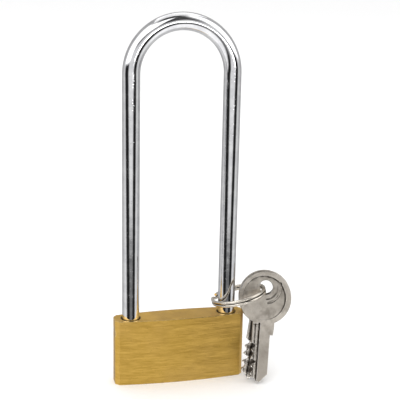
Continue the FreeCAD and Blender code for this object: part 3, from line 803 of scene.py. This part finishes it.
def key(name):
    """One cut key: stamped bow, eye, milled blade and bitting, hung in its place on the ring."""
    blank = plate(f"{name}_blank", key_outline(), -PLATE_HALF, PLATE_HALF)
    for side in (-1, 1):
        carve(blank, bow_hollow(side))
        for outer, inner, window in CREST_ARCS:
            carve(blank, crest_arc(side, outer, inner, window))
    carve(blank, turned("eye", [(KEY_HOLE, -CLEAR), (KEY_HOLE, CLEAR)], axis="Y"))
    low, high = -TIP_DROP - 1, -SHOULDER_DROP + 4
    for mill, (left, right, depth, top) in BLADE_CUTS.items():
        near, far = sorted((math.copysign(PLATE_HALF, depth) - depth, math.copysign(CLEAR, depth)))
        carve(blank, slab(mill, (left, near, low), (right, far, high + top)))
    soften(blank, 0.12, 2, 32.0)
    hole, yaw, lean, swing = KEY_POSES[name]
    hang = turn_about("Z", yaw) @ turn_about("X", -lean) @ turn_about("Y", swing)
    place = Matrix.Translation(hole) @ hang
    settle(blank, name, FINISHES["nickel"], [name], place, smooth=30.0, weighted=True)


# ---------------------------------------------------------------- studio

def floor():
    """A plain pale surface that shows in no reflection."""
    bm = bmesh.new()
    for x, y in ((-6, -6), (6, -6), (6, 6), (-6, 6)):
        bm.verts.new((x, y, 0))
    bm.faces.new(bm.verts)
    obj = piece_from("floor", bm)
    material = bpy.data.materials.new("pale_floor")
    material.use_nodes = True
    shader = material.node_tree.nodes["Principled BSDF"]
    shader.inputs["Base Color"].default_value = (0.93, 0.93, 0.93, 1)
    shader.inputs["Roughness"].default_value = 0.9
    obj.data.materials.append(material)
    obj.visible_glossy = False


def soft_box(name, where, aim, width, height, power):
    """A flat soft light at one point, aimed at another; metres and watts."""
    light = bpy.data.lights.new(name, "AREA")
    light.shape = "RECTANGLE"
    light.size, light.size_y = width, height
    light.energy = power
    obj = bpy.data.objects.new(name, light)
    bpy.context.scene.collection.objects.link(obj)
    obj.location = where
    obj.rotation_euler = (Vector(aim) - Vector(where)).to_track_quat("-Z", "Y").to_euler()


def studio_world():
    """A white room with a few dark cards, which give the polished metal its bands."""
    world = bpy.data.worlds.new("studio")
    bpy.context.scene.world = world
    world.use_nodes = True
    tree = world.node_tree
    where = add(tree, "ShaderNodeTexCoord").outputs["Generated"]

    def along(axis):
        node = add(tree, "ShaderNodeVectorMath", operation="DOT_PRODUCT")
        tree.links.new(where, node.inputs[0])
        node.inputs[1].default_value = axis
        return node.outputs["Value"]

    facing, aside, up = along((-0.249, -0.9685, 0)), along((0.9685, -0.249, 0)), along((0, 0, 1))
    turn = maths(tree, "DEGREES", maths(tree, "ARCTAN2", aside, facing))
    rise = maths(tree, "DEGREES", maths(tree, "ARCSINE", up))

    def card(centre, inner, outer):
        """One within the inner half width of the centre, fading to zero at the outer one; degrees."""
        gap = maths(tree, "ABSOLUTE", maths(tree, "SUBTRACT", turn, centre))
        return spread(tree, gap, inner, outer, 1.0, 0.0)

    def product(*factors):
        total = factors[0]
        for factor in factors[1:]:
            total = maths(tree, "MULTIPLY", total, factor)
        return total

    def zone(value, start, full, full_end, end):
        """One between full and full_end, fading to zero at start and at end; degrees."""
        return product(spread(tree, value, start, full), spread(tree, value, full_end, end, 1.0, 0.0))

    def lay_over(under, mask, value):
        """Where the mask is one the room has this value, elsewhere what was under it."""
        kept = maths(tree, "MULTIPLY", under, maths(tree, "SUBTRACT", 1.0, mask))
        return maths(tree, "ADD", kept, maths(tree, "MULTIPLY", mask, value))

    # Walls, dimmer behind; a lighter table; a dim ceiling; a dark stretch of wall between the windows.
    level = spread(tree, maths(tree, "ABSOLUTE", turn), 60.0, 130.0, 0.93, 0.50)
    level = maths(tree, "MULTIPLY", level, spread(tree, rise, -40.0, -22.0, 1.35, 1.0))
    level = lay_over(level, spread(tree, rise, 55.0, 78.0), 0.12)
    between = product(zone(turn, -34.0, -14.0, 34.0, 52.0), spread(tree, rise, 8.0, 24.0))
    level = lay_over(level, between, 0.07)
    for centre, width in ((-57.0, 32.0), (78.0, 26.0)):
        window = product(card(centre, width - 4.0, width + 4.0), zone(rise, 2.0, 8.0, 58.0, 66.0))
        level = lay_over(level, window, 1.9)
    # Dark cards left and right, which lean with height, and a fainter low one in front.
    left = card(spread(tree, rise, -30.0, -8.0, -10.0, -54.0, "LINEAR"), 14.0, 32.0)
    right = card(spread(tree, rise, -24.0, -8.0, 38.0, 54.0, "LINEAR"), 12.0, 28.0)
    low = product(card(10.0, 16.0, 50.0), zone(rise, -34.0, -27.0, -19.0, -15.0))
    dark = product(maths(tree, "MAXIMUM", left, right), zone(rise, -38.0, -24.0, 1.0, 7.0))
    level = lay_over(level, maths(tree, "MAXIMUM", dark, product(low, 0.8)), 0.02)
    path = add(tree, "ShaderNodeLightPath")
    matt = maths(tree, "MAXIMUM", path.outputs["Is Camera Ray"], path.outputs["Is Diffuse Ray"])
    shade = lay_over(level, matt, 1.0)
    background = tree.nodes["Background"]
    tree.links.new(shade, background.inputs["Strength"])
    background.inputs["Color"].default_value = (1.0, 1.0, 1.0, 1.0)


def studio():
    studio_world()
    soft_box("key_light", (-0.35, -0.8, 0.9), (0, 0, 0.05), 0.7, 0.7, 2.5)
    soft_box("front_light", (0.28, -0.95, 0.04), (0, 0, 0.02), 0.40, 0.07, 0.7)
    soft_box("top_light", (0.1, 0.3, 1.1), (0, 0, 0.05), 1.0, 1.0, 3.0)


def camera():
    """The view from the front left, a little above, with a slight roll."""
    azimuth, elevation, roll = map(math.radians, CAMERA_TURN)
    back = Vector((math.sin(azimuth) * math.cos(elevation), -math.cos(azimuth) * math.cos(elevation),
                   math.sin(elevation)))
    right = Vector((0, 0, 1)).cross(back).normalized()
    up = back.cross(right)
    across = right * math.cos(roll) + up * math.sin(roll)
    upward = up * math.cos(roll) - right * math.sin(roll)
    eye = CAMERA_TARGET + back * CAMERA_DISTANCE
    data = bpy.data.cameras.new("camera")
    data.sensor_width = 36.0
    data.lens = CAMERA_LENS
    data.clip_start = 0.01
    obj = bpy.data.objects.new("camera", data)
    bpy.context.scene.collection.objects.link(obj)
    obj.matrix_world = Matrix((
        (across.x, upward.x, back.x, eye.x),
        (across.y, upward.y, back.y, eye.y),
        (across.z, upward.z, back.z, eye.z),
        (0, 0, 0, 1)))
    bpy.context.scene.camera = obj


# ---------------------------------------------------------------- build

def dress_inner_parts():
    """The parts that keep their CAD shape get their finish by slot."""
    slots = {entry["node"]: entry["material_slot"] for entry in frame["record"]["subparts"]}
    for name, node in frame["nodes"].items():
        node.data.materials.clear()
        node.data.materials.append(FINISHES[slots[name]])


dress_inner_parts()
lock_body()
shackle()
WOUND_WIRE = wound_wire_tree()
split_ring(WOUND_WIRE)
driver_springs(WOUND_WIRE)
key("front_key")
key("back_key")
floor()
studio()
camera()
bpy.context.scene.view_settings.view_transform = "Standard"
